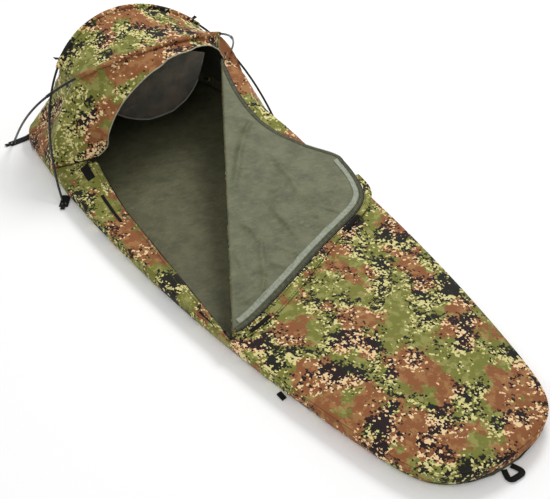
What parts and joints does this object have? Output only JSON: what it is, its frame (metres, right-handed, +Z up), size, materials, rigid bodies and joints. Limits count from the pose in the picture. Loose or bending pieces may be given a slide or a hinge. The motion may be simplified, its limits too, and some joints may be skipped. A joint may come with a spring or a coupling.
{
  "type": "hooped bivy sack",
  "caption": "One-person bivy sack with a low bag, a hood held up by crossed hoops and a zipped door folded back over the side.",
  "frame": {"origin": "on the ground under the middle of the bag", "axes": "+Z up, +Y from the toe towards the head, +X to the sleeper's left side when lying on the back, which is the right side seen from the toe"},
  "size_m": [0.9816, 2.3605, 0.4904],
  "materials": {
    "camouflage_cloth": "matt woven polyester printed with a small broken four-colour pattern",
    "coated_lining": "matt grey-green coated cloth",
    "seam_tape": "pale heat-sealed tape, slightly shiny",
    "zip_tape": "dark olive woven tape",
    "zip_coil": "dark nylon coil",
    "zip_metal": "black painted die-cast metal",
    "webbing": "black ribbed webbing",
    "hook_tape": "black hook and loop tape",
    "eyelet_metal": "bright nickel-plated",
    "pole_tube": "black-green satin anodised tube",
    "pole_plastic": "black moulded plastic",
    "shock_cord": "pale sheathed elastic cord",
    "insect_mesh": "fine grey-brown mesh, partly see-through"
  },
  "bodies": {
    "bag": {"groundsheet": "coated_lining", "left_wall": "camouflage_cloth", "right_wall": "camouflage_cloth", "toe_wall": "camouflage_cloth", "head_wall": "camouflage_cloth", "top_cover": "camouflage_cloth", "left_border": "camouflage_cloth", "seam_piping": "camouflage_cloth", "hood_visor": "camouflage_cloth", "hood_roof": "camouflage_cloth", "hood_side_left": "camouflage_cloth", "hood_side_right": "camouflage_cloth", "hood_rear": "camouflage_cloth", "rim_binding": "seam_tape", "corner_gusset_left": "camouflage_cloth", "corner_gusset_right": "camouflage_cloth", "front_sleeve": "camouflage_cloth", "rear_sleeve": "camouflage_cloth", "guy_tab_left": "webbing", "guy_tab_right": "webbing", "front_pole": "pole_tube", "rear_pole": "pole_tube", "front_pole_ferrules": "pole_tube", "rear_pole_ferrules": "pole_tube", "front_pole_cord": "shock_cord", "rear_pole_cord": "shock_cord", "front_pole_tips": "pole_plastic", "rear_pole_tips": "pole_plastic", "strap_front_left": "webbing", "strap_front_right": "webbing", "strap_rear_left": "webbing", "strap_rear_right": "webbing", "eyelets": "eyelet_metal", "bag_zip_tape": "zip_tape", "bag_zip_coil": "zip_coil", "rim_hook_strips": "hook_tape", "side_tab_left": "webbing", "side_tab_right": "webbing"},
    "slider": {"zip_slider": "zip_metal"},
    "pull": {"zip_pull": "zip_metal"},
    "door": {"door_flap": "coated_lining", "door_seam_tape": "seam_tape", "door_zip_tape": "zip_tape", "door_zip_coil": "zip_coil", "door_storm_strip": "camouflage_cloth", "door_hook_strips": "hook_tape"},
    "net": {"insect_net": "insect_mesh", "net_binding": "seam_tape"},
    "toe_loop": {"toe_peg_loop": "webbing"}
  },
  "joints": [
    {"name": "door_fold", "type": "hinge", "parent": "bag", "child": "door", "pos_m": [-0.36, -0.375, 0.062], "axis": [-0.5057, -0.8437, -0.1801], "range_deg": [0, 135]},
    {"name": "zip_slide", "type": "slide", "parent": "bag", "child": "slider", "axis": [0.0567, 0.9984, 0], "range_m": [0, 0.6]},
    {"name": "zip_pull_swing", "type": "hinge", "parent": "slider", "child": "pull", "pos_m": [-0.37334, -0.345, 0.0657], "axis": [-0.9984, 0.0567, 0], "range_deg": [0, 120]},
    {"name": "net_swing", "type": "hinge", "parent": "bag", "child": "net", "pos_m": [0, 0.668, 0.424], "axis": [1, 0, 0], "range_deg": [-8, 18]},
    {"name": "toe_loop_swing", "type": "hinge", "parent": "bag", "child": "toe_loop", "pos_m": [0, -1.162, 0.005], "axis": [-1, 0, 0], "range_deg": [0, 90]}
  ]
}
